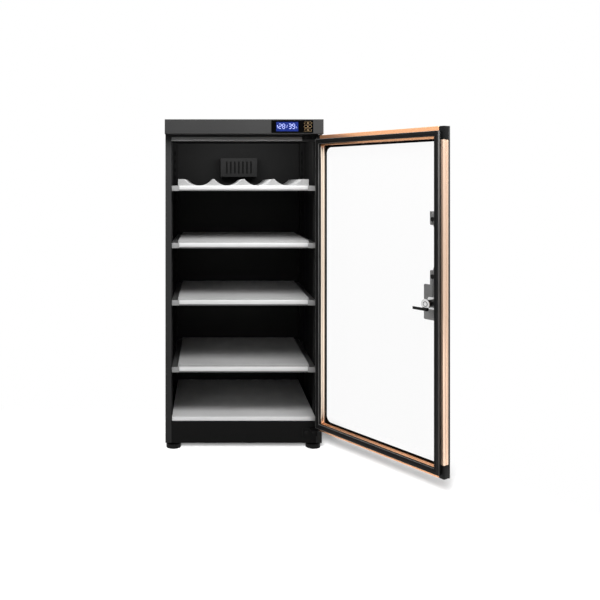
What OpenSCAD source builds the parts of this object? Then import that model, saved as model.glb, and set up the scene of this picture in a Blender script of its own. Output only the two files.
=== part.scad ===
// Camera dry cabinet: a sheet steel cabinet with a framed glass door, four pull-out shelves,
// a header with a display and three buttons, and a drying unit on the back wall.
// The door stands open. Origin: on the floor, under the centre of the cabinet's footprint.
// +Z is up, the door is at the -Y side and its hinges are at the +X side.

/* [Cabinet] */
// Width over the side panels
body_w = 400; // [380:5:440]
// Depth from the front frame to the back panel
body_d = 372; // [360:4:420]
// Thickness of the sheet steel
sheet_t = 1.2; // [1:0.1:1.4]
// Height of the plinth, from the cabinet's underside to the compartment's floor
plinth_h = 55.5; // [54:0.5:70]
// Height of the door opening
opening_h = 716; // [710:2:760]
// Height of the lintel over the opening
lintel_h = 15; // [14:0.5:18]
// Width of each front stile
stile_w = 15.4; // [15:0.1:16]
// Depth of the folds behind the lintel and the plinth's face
fold_d = 13; // [10:0.5:16]
// Width of the rear flange that carries the back panel
flange_w = 13; // [12:0.5:14]

/* [Feet] */
// Height of the cabinet's underside above the floor
foot_gap = 16.5; // [15.5:0.5:22]
// Radius of the foot pad
foot_r = 19; // [16:0.5:20]
// Height of the foot pad's rim
foot_rim_h = 10.5; // [8:0.5:11]
// Height and width of the bevel above the rim
foot_bevel = 1.7; // [1:0.1:2]
// Radius of the neck above the pad
neck_r = 10; // [8:0.5:12]
// Radius of the foot's stud
stud_r = 4; // [3:0.5:5]
// Length of stud above the cabinet's underside
stud_reach = 24; // [16:1:32]
// Distance from a foot's axis to the side of the cabinet
foot_in_x = 20; // [20:0.5:30]
// Distance from a foot's axis to the front or back of the cabinet
foot_in_y = 22; // [20:0.5:30]
// Width of a weld nut across its corners
nut_w = 15; // [14:0.5:18]
// Height of a weld nut
nut_h = 6.5; // [5:0.5:8]

/* [Header] */
// Height of the header above its shadow gap
header_h = 37; // [36:0.5:44]
// Height of the shadow gap between the cabinet and the header's front
header_gap = 1.6; // [1.6:0.1:3]
// How far the header stands out from the front frame
header_out = 30; // [30:0.5:36]
// Radius of the header's front edges
header_r = 1.6; // [1:0.1:3]
// Distance from the power inlet to the side of the cabinet
inlet_in = 50; // [40:5:120]
// Radius of the power inlet's body
inlet_r = 6; // [5:0.5:8]
// Length of the power inlet's body
inlet_l = 14; // [10:1:20]
// Width and thickness of the power inlet's flange
inlet_flange = 2; // [1:0.5:3]
// Radius of the power inlet's socket
socket_r = 3; // [2.5:0.1:4]
// Radius of the power inlet's centre pin
socket_pin_r = 1; // [0.6:0.1:1.2]

/* [Display] */
// Width of the black display panel
panel_w = 105.5; // [104:0.5:115]
// Height of the black display panel
panel_h = 31.7; // [31:0.1:33]
// Distance from the panel to the header's right end
panel_in = 26; // [15:0.5:40]
// Corner radius of the display panel
panel_r = 1.6; // [1:0.2:2]
// How far the panel stands proud of the header
panel_proud = 0.6; // [0.3:0.1:1]
// Width of the panel's hidden ear at each end
panel_ear = 3; // [2:0.1:4]
// Thickness of the panel's hidden ears
ear_t = 1.2; // [1:0.1:1.5]
// Width of the lit part of the display
lcd_w = 55.4; // [50:0.5:58]
// Height of the lit part of the display
lcd_h = 23.4; // [20:0.5:25]
// Distance from the panel's left end to the lit part
lcd_in = 12.3; // [8:0.1:14]
// Thickness of the display module
lcd_t = 6; // [5.8:0.1:8]
// Rim of the display module around the lit part
lcd_rim = 2.4; // [1:0.2:3]
// How far the lit part lies behind the panel's face
lcd_recess = 0.5; // [0.3:0.1:0.8]
// Width of a button
button_w = 20; // [14:0.5:21]
// Height of a button
button_h = 6.4; // [5:0.1:6.6]
// Distance between the buttons, centre to centre
button_pitch = 8.8; // [8.6:0.1:9]
// Distance from the panel's right end to the buttons' centre
button_in = 13.6; // [13.4:0.1:16]
// How far a button stands proud of the panel
button_proud = 1; // [0.9:0.1:1.4]
// Travel of a button
button_travel = 0.8; // [0.5:0.1:0.8]
// Thickness of the control board
board_t = 1.6; // [1:0.1:2]

/* [Door] */
// How far the door stands open, from closed
door_open = 124.5; // [100:0.5:130]
// How much narrower the door is than the cabinet on each side
door_inset = 2; // [1.5:0.5:3]
// Gap between the door and the header
door_top_gap = 3.1; // [3:0.1:4]
// Height of the door's lower edge above the cabinet's underside
door_low = 38.3; // [36:0.1:40]
// Depth of the door frame
frame_t = 15; // [14.5:0.5:17]
// Wall of the hollow door frame
frame_wall = 1.4; // [1.2:0.1:2]
// Width of the frame outside the gasket at the sides and the bottom
frame_lip = 8; // [7.5:0.1:8.5]
// Width of the frame outside the gasket at the top
top_lip = 10; // [10:0.1:11]
// Width of the frame inside the gasket at the top
top_inner = 4; // [2:0.1:6]
// Thickness of the door glass
glass_t = 4.5; // [4:0.1:5]
// Corner radius of the door glass
glass_r = 3; // [2:0.5:4]
// Width of the gasket
gasket_w = 12; // [11:0.1:12]
// Height of the gasket's base
gasket_base = 3.5; // [3:0.1:4]
// Height of the gasket's bellows
gasket_neck = 3.4; // [3:0.1:4]
// How far the bellows are drawn in on each side
gasket_waist = 1.6; // [1:0.1:3]
// Height of the gasket's magnet strip
gasket_head = 2.8; // [2:0.1:3]
// Width of a corner block of the door frame
block_w = 14; // [13:0.5:15]
// Height of a corner block of the door frame
block_h = 29; // [27:0.5:35]

/* [Hinges] */
// Distance from the hinge axis to the door frame's inner face
pivot_depth = 5.5; // [5:0.1:6]
// Radius of the hinge pins
pin_r = 2.5; // [2:0.1:3]
// How far a hinge pin enters the door
pin_in = 11; // [8:0.5:16]
// Radius of a hinge pin's head
pin_head_r = 4.5; // [4:0.5:6]
// Thickness of a hinge pin's head
pin_head_t = 0.8; // [0.6:0.1:0.8]
// Thickness of the hinge brackets
bracket_t = 1.5; // [1.2:0.1:1.5]
// Gap between a bracket's arm and the door
arm_gap = 0.6; // [0.5:0.1:0.6]
// Width of a bracket's leg
leg_w = 38; // [30:1:45]
// Height of the lower bracket's leg
leg_h = 20; // [16:1:24]
// Height of the upper bracket's leg
top_leg_h = 10.6; // [10:0.1:10.6]
// Reach of a bracket's arm past the hinge axis
arm_reach = 6.5; // [5:0.5:7]
// Width of a bracket's arm on the inner side of the hinge axis
arm_w = 22; // [16:1:26]
// Radius of the bracket screws
bolt_r = 1.8; // [1.5:0.1:2]
// Radius of the bracket screws' heads
bolt_head_r = 3.2; // [3:0.1:3.6]
// Height of the bracket screws' heads
bolt_head_h = 1.8; // [1.4:0.1:2.2]

/* [Handle] */
// Distance from the door's free edge to the handle and lock
handle_in = 41.5; // [41:0.5:46]
// Height of the handle's centre above the lock's axis
handle_rise = 119.2; // [118:0.2:126]
// Length of the handle
handle_l = 158; // [150:1:160]
// Distance between the handle's screws
handle_pitch = 124; // [118:1:128]
// How far the handle stands out from the glass
handle_out = 28; // [24:1:34]
// Thickness of the handle's bow
handle_t = 7; // [6:0.5:8]
// Width of the handle
handle_w = 23; // [18:1:26]
// Length of the seat at each end of the handle
seat_l = 30; // [28:1:32]
// Thickness of the seats
seat_t = 4; // [3:0.5:6]
// Radius of the handle screws
screw_r = 2; // [1.5:0.1:2.5]
// Radius of the handle screws' heads
screw_head_r = 5; // [4:0.5:6]
// Height of the handle screws' heads
screw_head_h = 2.6; // [2:0.2:3.2]

/* [Lock] */
// Height of the lock's axis above the door's lower edge
lock_rise = 366.2; // [355:1:370]
// Width of the lock plate
plate_w = 56; // [50:1:60]
// Height of the lock plate
plate_h = 77; // [60:1:78]
// Thickness of the lock plate
plate_t = 2; // [1.5:0.1:3]
// Corner radius of the lock plate
plate_r = 3; // [1:0.5:4]
// Radius of the lock's barrel
barrel_r = 8; // [7.5:0.5:9]
// Radius of the lock's outer flange
lock_flange_r = 11; // [10:0.5:12]
// Thickness of the lock's outer flange
lock_flange_t = 2; // [1.8:0.1:3]
// Radius of the turning plug
plug_r = 5; // [4.6:0.1:5.5]
// How far the plug stands out of its flange
plug_proud = 1; // [0.5:0.1:1.5]
// Width of the lock nut across its corners
lock_nut_w = 30; // [26:1:34]
// Thickness of the lock nut
lock_nut_t = 5; // [4:0.5:6]
// Radius of the cam's cap
cap_r = 11; // [10:0.5:12]
// Thickness of the cam's cap
cap_t = 2; // [1.5:0.1:2.5]
// Length of the cam from the lock's axis
cam_l = 31; // [30:0.5:34]
// Width of the cam's arm
cam_w = 6; // [5:0.5:8]
// Thickness of the cam
cam_t = 2; // [1.5:0.1:2.2]
// Gap between the turned cam and the stile that it holds
cam_gap = 1; // [0.6:0.1:1.2]

/* [Shelves] */
// Height left over above the slots in the posts
slot_spare = 5.5; // [4:0.5:8]
// Height of a shelf's top above the row of slots that holds it
shelf_rise = 14.3; // [13:0.1:16]
// Distance from the front frame to a shelf's front rail
rail_set = 5.4; // [5.4:0.1:12]
// Height of a shelf's front rail
rail_h = 13.5; // [13:0.5:15]
// Depth of a shelf's front rail
rail_t = 7; // [6:0.5:10]
// Height of the lower band of the front rail
rail_band = 4; // [3:0.5:5]
// Size of the groove along the front rail
rail_groove = 0.8; // [0.5:0.1:1]
// Distance from the back panel to a tray's rear edge
tray_back = 15; // [12:1:20]
// Depth of a tray below the top of its front rail
tray_depth = 5; // [4:0.5:6]
// Radius of the air holes in a tray
air_r = 8; // [5:0.5:10]
// Distance from the back panel to a slide channel's end
channel_back = 12; // [11:1:20]
// Width of a slide channel
slide_w = 13; // [12:0.5:14]
// Wall of a slide channel
slide_t = 1.2; // [1:0.1:1.4]
// Width of the runner on a tray's side
runner_w = 7.4; // [5:0.1:7.8]
// Thickness of a flat shelf mat
mat_t = 11; // [6:0.5:12]
// Thickness of the floor mat
floor_mat_t = 11.6; // [6:0.2:14]
// Height of the scalloped pad
cradle_h = 21.7; // [18:0.1:24]
// Depth of a scallop in the pad
scallop_h = 17; // [10:0.5:17]
// Distance between scallops, centre to centre
scallop_pitch = 77.5; // [70:0.5:78]
// Width of the ridge between scallops
ridge_w = 6; // [3:0.5:10]
// Width of a post
post_w = 14.8; // [14.6:0.1:15.4]
// Depth of a post, front to back
post_d = 20; // [16:1:22]
// Wall of a post
post_t = 1.2; // [1:0.1:1.4]
// Distance from the front frame to the front posts
post_front = 40; // [30:1:80]
// Distance from the back panel to the rear posts
post_rear = 11; // [8:1:40]
// Width of a slot in a post
slot_w = 4; // [3:0.5:5]
// Height of a slot in a post
slot_h = 12; // [8:0.5:14]

/* [Drying unit] */
// Width of the drying unit
dryer_w = 108; // [100:2:130]
// Depth of the drying unit
dryer_d = 62; // [56:1:66]
// Gap between the scalloped pad and the drying unit
dryer_gap = 9; // [8:0.5:14]
// Distance from the drying unit's top to the lintel's lower edge
dryer_drop = 33; // [27:1:34]
// Wall of the drying unit's case
dryer_wall = 2; // [1.6:0.1:2.5]
// Width of an air slot
air_slot_w = 5; // [4:0.5:7]
// Height of case above and below the air slots
air_slot_rim = 9.5; // [8:0.5:12]
// Distance between air slots, centre to centre
air_slot_pitch = 12; // [11:0.5:14]
// Size of the humidity sensor
sensor_w = 8; // [6:1:10]

/* [Hidden] */
$fn = 64;
// Gap between parts that move past each other
slip = 0.3;
// Gap around a fixed part that sits in a cut-out
fit = 0.2;
// Gap between a shaft and its bore, on the radius
running = 0.05;
// How far a cut runs past a face
over = 2;
// Gap between a slide channel and the tray beside it
side_gap = 1;
// Rows of slots in the posts
slot_rows = 29;
// Row of slots that holds each shelf, from the top shelf down
shelf_rows = [24, 18, 12, 5];
// Number of scallops in the pad
scallops = 4;
// Air holes in a tray, across and front to back
air_holes = [5, 3];
// Places of the buttons, in pitches above the middle one
button_steps = [1, 0, -1];

// Heights above the floor
carcass_z = foot_gap;
floor_z = carcass_z + plinth_h;
lintel_z = floor_z + opening_h;
top_z = lintel_z + lintel_h;
ceiling_z = top_z - sheet_t;
header_z = top_z + header_gap;
header_top = header_z + header_h;
header_mid = header_z + header_h / 2;

// Distances from the middle, across
body_x = body_w / 2;
wall_x = body_x - sheet_t;
opening_x = body_x - stile_w;
post_x = wall_x - post_w;
channel_x = post_x - slide_w;
tray_x = channel_x - side_gap;
door_x = body_x - door_inset;
foot_x = body_x - foot_in_x;
inlet_x = body_x - inlet_in;

// Planes of the cabinet, front to back
front_y = -body_d / 2;
back_y = body_d / 2;
frame_in_y = front_y + sheet_t;
back_in_y = back_y - sheet_t;
flange_y = back_in_y - sheet_t;
header_y = front_y - header_out;
foot_y = body_d / 2 - foot_in_y;

// Planes of the closed door, from the front frame outwards
gasket_y = front_y - slip;
frame_y = gasket_y - gasket_base - gasket_neck - gasket_head;
glass_y = frame_y - frame_t;
glass_out_y = glass_y - glass_t;
pivot_x = door_x - block_w / 2;
pivot_y = frame_y - pivot_depth;

// Outline of the closed door
door_z = carcass_z + door_low;
door_top = header_z - door_top_gap;
rail_w = frame_lip + gasket_w;
top_rail_w = top_lip + gasket_w + top_inner;
frame_in_x = door_x - rail_w;
block_x = door_x - block_w;

// Handle and lock on the closed door
lock_x = -door_x + handle_in;
lock_z = door_z + lock_rise;
handle_z = lock_z + handle_rise;
bow_r = (pow(handle_l / 2, 2) + pow(handle_out, 2)) / (2 * handle_out);
flange_out_y = glass_out_y - plate_t - lock_flange_t;
cam_y = frame_in_y + cam_gap;
cap_y = cam_y - cap_t - cam_t;
hub_y = cap_y - cam_t;

// Brackets and their screws
arm_top = door_top + arm_gap;
arm_low = door_z - arm_gap;
leg_x = pivot_x - bolt_head_r - leg_w / 2;
top_bolt_z = arm_top + bracket_t / 2 - top_leg_h / 2;
low_bolt_z = arm_low - bracket_t / 2 - leg_h / 2;

// Display, from the panel's face inwards
panel_y = header_y - panel_proud;
panel_back_y = header_y + sheet_t + ear_t;
board_y = panel_back_y + lcd_t;
panel_x = body_x - panel_in - panel_w / 2;
lcd_x = panel_x - panel_w / 2 + lcd_in + lcd_w / 2;
button_x = panel_x + panel_w / 2 - button_in;
button_y = panel_y - button_proud;
tail_y = panel_back_y + slip + ear_t;

// Shelves
rail_y = front_y + rail_set;
tray_y = rail_y + rail_t;
tray_end_y = back_in_y - tray_back;
channel_y = rail_y + side_gap;
channel_end_y = back_in_y - channel_back;
slot_pitch = (opening_h - slot_spare) / slot_rows;
shelf_z = [for (n = shelf_rows) floor_z + shelf_rise + n * slot_pitch];
pad_x = tray_x - sheet_t - slip;
scallop_w = scallop_pitch - ridge_w;
scallop_r = (pow(scallop_w / 2, 2) + pow(scallop_h, 2)) / (2 * scallop_h);

// Drying unit
dryer_top = lintel_z - dryer_drop;
dryer_z = shelf_z[0] - tray_depth + cradle_h + dryer_gap;
dryer_y = back_in_y - dryer_d;
grille_y = dryer_y + dryer_wall;

steel_grey = [0.3, 0.3, 0.31];
inner_grey = [0.12, 0.12, 0.13];
rose_gold = [0.83, 0.66, 0.54];
soft_black = [0.06, 0.06, 0.06];
foam_grey = [0.45, 0.45, 0.46];
chrome = [0.8, 0.8, 0.82];

// A box between two limits on each axis
module span(x, y, z) {
    translate([x[0], y[0], z[0]])
        cube([x[1] - x[0], y[1] - y[0], z[1] - z[0]]);
}

// A flat shape drawn in X and Z, given a thickness along Y
module upright(y) {
    translate([0, y[1], 0])
        rotate([90, 0, 0])
            linear_extrude(y[1] - y[0])
                children();
}

// A round bar or bore along Y
module rod_y(x, z, r, y) {
    translate([x, y[1], z])
        rotate([90, 0, 0])
            cylinder(r = r, h = y[1] - y[0]);
}

// A rectangle with round corners
module rounded(w, h, r) {
    square([w - 2 * r, h], center = true);
    square([w, h - 2 * r], center = true);
    for (i = [-1, 1], k = [-1, 1])
        translate([i * (w / 2 - r), k * (h / 2 - r)])
            circle(r = r);
}

// A bar with round ends
module stadium(w, h) {
    square([w - h, h], center = true);
    for (i = [-1, 1])
        translate([i * (w - h) / 2, 0])
            circle(r = h / 2);
}

// What belongs to the door is drawn closed and swung about the hinge axis
module swing() {
    translate([pivot_x, pivot_y, 0])
        rotate([0, 0, door_open])
            translate([-pivot_x, -pivot_y, 0])
                children();
}

// The same thing at each of the four feet
module at_feet() {
    for (i = [-1, 1], k = [-1, 1])
        translate([i * foot_x, k * foot_y, 0])
            children();
}

// Upright air slots in line with the drying unit
module air_slots(y) {
    count = floor((dryer_w / 2 - 2 * dryer_wall) / air_slot_pitch);
    for (i = [-count + 1 : count - 1])
        span([i * air_slot_pitch - air_slot_w / 2, i * air_slot_pitch + air_slot_w / 2], y,
            [dryer_z + air_slot_rim, dryer_top - air_slot_rim]);
}

// Holes for the two screws of a bracket
module bolt_holes(z) {
    for (i = [-1, 1])
        rod_y(leg_x + i * leg_w / 4, z, bolt_r + fit, [front_y - bracket_t - over, frame_in_y + over]);
}

// Cabinet
module side_panel_right() {
    color(steel_grey) {
        span([wall_x, body_x], [front_y, back_y], [carcass_z, top_z]);
        span([opening_x, body_x], [front_y, frame_in_y], [carcass_z, top_z]);
        span([body_x - flange_w, body_x], [flange_y, back_in_y], [carcass_z, top_z]);
    }
}

module side_panel_left() {
    mirror([1, 0, 0])
        side_panel_right();
}

module top_panel() {
    color(steel_grey)
        difference() {
            union() {
                span([-wall_x, wall_x], [frame_in_y, flange_y], [ceiling_z, top_z]);
                span([-opening_x, opening_x], [front_y, frame_in_y], [lintel_z, top_z]);
                span([-opening_x, opening_x], [front_y, front_y + fold_d], [lintel_z, lintel_z + sheet_t]);
            }
            // Way for the wires from the header to the drying unit
            translate([0, dryer_y, ceiling_z - over])
                cylinder(r = inlet_r, h = sheet_t + 2 * over);
            bolt_holes(top_bolt_z);
        }
}

module floor_panel() {
    color(inner_grey)
        span([-wall_x, wall_x], [frame_in_y, flange_y], [floor_z - sheet_t, floor_z]);
}

module base_panel() {
    color(steel_grey)
        difference() {
            span([-wall_x, wall_x], [frame_in_y, flange_y], [carcass_z, carcass_z + sheet_t]);
            at_feet()
                translate([0, 0, carcass_z - over])
                    cylinder(r = stud_r + fit, h = sheet_t + 2 * over);
        }
}

module kick_plate() {
    color(steel_grey)
        difference() {
            union() {
                span([-opening_x, opening_x], [front_y, frame_in_y], [carcass_z, floor_z]);
                span([-opening_x, opening_x], [front_y, front_y + fold_d], [floor_z - 2 * sheet_t, floor_z - sheet_t]);
            }
            bolt_holes(low_bolt_z);
        }
}

module back_panel() {
    color(steel_grey)
        difference() {
            span([-wall_x, wall_x], [back_in_y, back_y], [carcass_z, top_z]);
            air_slots([back_in_y - over, back_y + over]);
        }
}

// What a round edge takes off a square one
module edge_cut() {
    difference() {
        translate([-over, -over])
            square(header_r + over);
        translate([header_r, header_r])
            circle(r = header_r);
    }
}

// The header seen from its side, front to the left
module header_side() {
    difference() {
        polygon([
            [header_y, header_z], [header_y, header_top], [back_y, header_top],
            [back_y, top_z], [front_y, top_z], [front_y, header_z]
        ]);
        translate([header_y, header_top])
            mirror([0, 1])
                edge_cut();
        translate([header_y, header_z])
            edge_cut();
    }
}

module header_shell() {
    color(steel_grey)
        difference() {
            rotate([90, 0, 90])
                linear_extrude(body_w, center = true)
                    header_side();
            span([-wall_x, wall_x], [header_y + sheet_t, back_in_y], [header_z + sheet_t, header_top - sheet_t]);
            span([-wall_x, wall_x], [frame_in_y, back_in_y], [top_z - over, header_mid]);
            upright([header_y - over, header_y + sheet_t + over])
                translate([panel_x, header_mid])
                    rounded(panel_w + 2 * fit, panel_h + 2 * fit, panel_r + fit);
            rod_y(inlet_x, header_mid, inlet_r + running, [back_in_y - over, back_y + over]);
        }
}

// Display and buttons
module display_panel() {
    color(soft_black)
        difference() {
            union() {
                upright([panel_y, panel_back_y])
                    translate([panel_x, header_mid])
                        rounded(panel_w, panel_h, panel_r);
                upright([panel_back_y - ear_t, panel_back_y])
                    translate([panel_x, header_mid])
                        square([panel_w + 2 * panel_ear, panel_h - 2 * panel_ear], center = true);
            }
            upright([panel_y - over, panel_back_y + over])
                translate([lcd_x, header_mid])
                    square([lcd_w + 2 * fit, lcd_h + 2 * fit], center = true);
            for (n = button_steps)
                upright([panel_y - over, panel_back_y + over])
                    translate([button_x, header_mid + n * button_pitch])
                        stadium(button_w + 2 * slip, button_h + 2 * slip);
        }
}

module lcd_module() {
    color([0.35, 0.55, 0.9]) {
        upright([panel_y + lcd_recess, panel_back_y + over])
            translate([lcd_x, header_mid])
                square([lcd_w, lcd_h], center = true);
        upright([panel_back_y, board_y])
            translate([lcd_x, header_mid])
                square([lcd_w + 2 * lcd_rim, lcd_h + 2 * lcd_rim], center = true);
    }
}

// The board, with a switch behind each button
module control_board() {
    color([0.1, 0.35, 0.2]) {
        upright([board_y, board_y + board_t])
            translate([panel_x, header_mid])
                square([panel_w, panel_h - 2 * panel_ear], center = true);
        for (n = button_steps)
            rod_y(button_x, header_mid + n * button_pitch, button_h / 4,
                [tail_y + slip + button_travel, board_y + board_t / 2]);
    }
}

// A button, with the flange that holds it behind the panel
module button(n) {
    color([0.75, 0.62, 0.45])
        translate([button_x, 0, header_mid + n * button_pitch]) {
            upright([button_y, tail_y])
                stadium(button_w, button_h);
            upright([panel_back_y + slip, tail_y])
                stadium(button_w + 4 * slip, button_h + 4 * slip);
        }
}

module power_inlet() {
    color(soft_black)
        difference() {
            union() {
                rod_y(inlet_x, header_mid, inlet_r, [back_y - inlet_l, back_y]);
                rod_y(inlet_x, header_mid, inlet_r + inlet_flange, [back_y, back_y + inlet_flange]);
            }
            difference() {
                rod_y(inlet_x, header_mid, socket_r, [back_y - inlet_l + inlet_flange, back_y + 2 * inlet_flange]);
                rod_y(inlet_x, header_mid, socket_pin_r, [back_y - inlet_l, back_y]);
            }
        }
}

// Posts and slides
module post(y) {
    color(inner_grey)
        difference() {
            span([post_x, wall_x], [y, y + post_d], [floor_z, ceiling_z]);
            span([post_x + post_t, wall_x + over], [y + post_t, y + post_d - post_t], [floor_z - over, ceiling_z + over]);
            for (k = [1 : slot_rows])
                translate([0, y, floor_z + (k - 1 / 2) * slot_pitch]) {
                    span([post_x - over, post_x + 2 * post_t], [(post_d - slot_w) / 2, (post_d + slot_w) / 2],
                        [-slot_h / 2, slot_h / 2]);
                    span([post_x + (post_w - slot_w) / 2, post_x + (post_w + slot_w) / 2], [-over, 2 * post_t],
                        [-slot_h / 2, slot_h / 2]);
                }
        }
}

module support_posts_right() {
    post(front_y + post_front);
    post(back_in_y - post_rear - post_d);
}

module support_posts_left() {
    mirror([1, 0, 0])
        support_posts_right();
}

module slide_channels_right() {
    color(chrome)
        for (z = shelf_z)
            difference() {
                span([channel_x, post_x], [channel_y, channel_end_y], [z - rail_h, z]);
                span([channel_x - over, post_x - slide_t], [channel_y - over, channel_end_y + over],
                    [z - rail_h + slide_t, z - slide_t]);
            }
}

module slide_channels_left() {
    mirror([1, 0, 0])
        slide_channels_right();
}

// Shelves
module tray(z) {
    low = z - rail_h + slide_t + slip;
    high = z - slide_t - slip;
    color(chrome)
        difference() {
            union() {
                span([-tray_x, tray_x], [tray_y, tray_end_y], [z - tray_depth - sheet_t, z - tray_depth]);
                span([-tray_x, tray_x], [tray_end_y - sheet_t, tray_end_y], [z - tray_depth - sheet_t, z]);
                for (i = [0, 1])
                    mirror([i, 0, 0]) {
                        span([tray_x - sheet_t, tray_x], [tray_y, tray_end_y], [low, z]);
                        runner(low, high);
                    }
            }
            tray_air_holes(z);
        }
}

// The hollow runner on a tray's side
module runner(low, high) {
    difference() {
        span([tray_x - sheet_t, tray_x + runner_w], [tray_y, tray_end_y], [low, high]);
        span([tray_x, tray_x + runner_w - sheet_t], [tray_y - over, tray_end_y + over],
            [low + sheet_t, high - sheet_t]);
    }
}

module tray_air_holes(z) {
    step_x = 2 * tray_x / (air_holes[0] + 1);
    step_y = (tray_end_y - tray_y) / (air_holes[1] + 1);
    for (i = [1 : air_holes[0]], k = [1 : air_holes[1]])
        translate([i * step_x - tray_x, tray_y + k * step_y, z - tray_depth - sheet_t - over])
            cylinder(r = air_r, h = sheet_t + 2 * over);
}

module front_rail(z) {
    color([0.88, 0.88, 0.89])
        difference() {
            span([-tray_x, tray_x], [rail_y, tray_y], [z - rail_h, z]);
            span([-tray_x - over, tray_x + over], [rail_y - over, rail_y + rail_groove],
                [z - rail_h + rail_band, z - rail_h + rail_band + rail_groove]);
        }
}

module flat_mat(z) {
    color(foam_grey)
        span([-pad_x, pad_x], [tray_y + slip, tray_end_y - sheet_t - slip], [z - tray_depth, z - tray_depth + mat_t]);
}

module scalloped_mat(z) {
    top = z - tray_depth + cradle_h;
    color(foam_grey)
        difference() {
            span([-pad_x, pad_x], [tray_y + slip, tray_end_y - sheet_t - slip], [z - tray_depth, top]);
            for (k = [1 : scallops])
                rod_y((k - (scallops + 1) / 2) * scallop_pitch, top + scallop_r - scallop_h, scallop_r,
                    [tray_y - over, tray_end_y + over]);
        }
}

module floor_mat() {
    color(foam_grey)
        span([-post_x + slip, post_x - slip], [frame_in_y + slip, flange_y - slip], [floor_z, floor_z + floor_mat_t]);
}

// Drying unit
module dryer_housing() {
    color(soft_black)
        difference() {
            span([-dryer_w / 2, dryer_w / 2], [grille_y, back_in_y], [dryer_z, dryer_top]);
            span([-dryer_w / 2 + dryer_wall, dryer_w / 2 - dryer_wall], [grille_y - over, back_in_y - dryer_wall],
                [dryer_z + dryer_wall, dryer_top - dryer_wall]);
            air_slots([back_in_y - dryer_wall - over, back_in_y + over]);
        }
}

module dryer_grille() {
    color(soft_black)
        difference() {
            span([-dryer_w / 2, dryer_w / 2], [dryer_y, grille_y], [dryer_z, dryer_top]);
            air_slots([dryer_y - over, grille_y + over]);
        }
}

module desiccant_pack() {
    color([0.85, 0.85, 0.8])
        span([-dryer_w / 2 + 2 * dryer_wall, dryer_w / 2 - 2 * dryer_wall - 2 * sensor_w],
            [grille_y + sensor_w, back_in_y - dryer_wall - sensor_w],
            [dryer_z + dryer_wall, dryer_top - 2 * dryer_wall]);
}

module humidity_sensor() {
    color([0.9, 0.9, 0.9])
        span([dryer_w / 2 - dryer_wall - sensor_w, dryer_w / 2 - dryer_wall],
            [grille_y + sensor_w, grille_y + 2 * sensor_w],
            [dryer_top - air_slot_rim - dryer_wall - 2 * sensor_w, dryer_top - air_slot_rim - dryer_wall]);
}

// Hinges
module bracket(arm, leg, bolt_z) {
    color(steel_grey)
        difference() {
            union() {
                span([leg_x - leg_w / 2, leg_x + leg_w / 2], [front_y - bracket_t, front_y], leg);
                span([pivot_x - arm_w, pivot_x + arm_reach], [pivot_y - arm_reach, front_y], arm);
            }
            translate([pivot_x, pivot_y, arm[0] - over])
                cylinder(r = pin_r + running, h = bracket_t + 2 * over);
            bolt_holes(bolt_z);
        }
}

module hinge_bracket_top() {
    bracket([arm_top, arm_top + bracket_t], [arm_top + bracket_t - top_leg_h, arm_top + bracket_t], top_bolt_z);
}

module hinge_bracket_bottom() {
    bracket([arm_low - bracket_t, arm_low], [arm_low - leg_h, arm_low], low_bolt_z);
}

module hinge_pins() {
    pin_l = pin_in + arm_gap + bracket_t + pin_head_t;
    color(chrome)
        translate([pivot_x, pivot_y, 0]) {
            translate([0, 0, door_top - pin_in])
                cylinder(r = pin_r, h = pin_l);
            translate([0, 0, arm_top + bracket_t])
                cylinder(r = pin_head_r, h = pin_head_t);
            translate([0, 0, door_z + pin_in - pin_l])
                cylinder(r = pin_r, h = pin_l);
            translate([0, 0, arm_low - bracket_t - pin_head_t])
                cylinder(r = pin_head_r, h = pin_head_t);
        }
}

module cabinet_screws() {
    head_y = front_y - bracket_t - bolt_head_h;
    color(chrome)
        for (i = [-1, 1], z = [top_bolt_z, low_bolt_z]) {
            rod_y(leg_x + i * leg_w / 4, z, bolt_head_r, [head_y, head_y + bolt_head_h]);
            rod_y(leg_x + i * leg_w / 4, z, bolt_r, [head_y, frame_in_y + over]);
        }
}

// Feet
module foot() {
    color(soft_black) {
        cylinder(r = foot_r, h = foot_rim_h);
        translate([0, 0, foot_rim_h])
            cylinder(r1 = foot_r, r2 = foot_r - foot_bevel, h = foot_bevel);
        cylinder(r = neck_r, h = carcass_z - slip);
        cylinder(r = stud_r, h = carcass_z + stud_reach);
    }
}

module foot_nuts() {
    color(chrome)
        at_feet()
            translate([0, 0, carcass_z + sheet_t])
                difference() {
                    cylinder(r = nut_w / 2, h = nut_h, $fn = 6);
                    translate([0, 0, -over])
                        cylinder(r = stud_r + running, h = nut_h + 2 * over);
                }
}

// Door
module hollow_stile() {
    difference() {
        span([frame_in_x, door_x], [glass_y, frame_y], [door_z + rail_w, door_top - top_rail_w]);
        span([frame_in_x + frame_wall, door_x - frame_wall], [glass_y + frame_wall, frame_y - frame_wall],
            [door_z, door_top]);
        span([block_x, door_x + over], [glass_y - over, frame_y + over], [door_z, door_z + block_h]);
        span([block_x, door_x + over], [glass_y - over, frame_y + over], [door_top - block_h, door_top]);
    }
}

module door_stile_hinge() {
    color(rose_gold)
        swing()
            hollow_stile();
}

module door_stile_latch() {
    color(rose_gold)
        swing()
            mirror([1, 0, 0])
                hollow_stile();
}

module hollow_rail(z) {
    color(rose_gold)
        swing()
            difference() {
                span([-block_x, block_x], [glass_y, frame_y], z);
                span([-door_x, door_x], [glass_y + frame_wall, frame_y - frame_wall],
                    [z[0] + frame_wall, z[1] - frame_wall]);
            }
}

module door_rail_top() {
    hollow_rail([door_top - top_rail_w, door_top]);
}

module door_rail_bottom() {
    hollow_rail([door_z, door_z + rail_w]);
}

module block_pair() {
    span([block_x, door_x], [glass_y, frame_y], [door_z, door_z + block_h]);
    span([block_x, door_x], [glass_y, frame_y], [door_top - block_h, door_top]);
}

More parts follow.
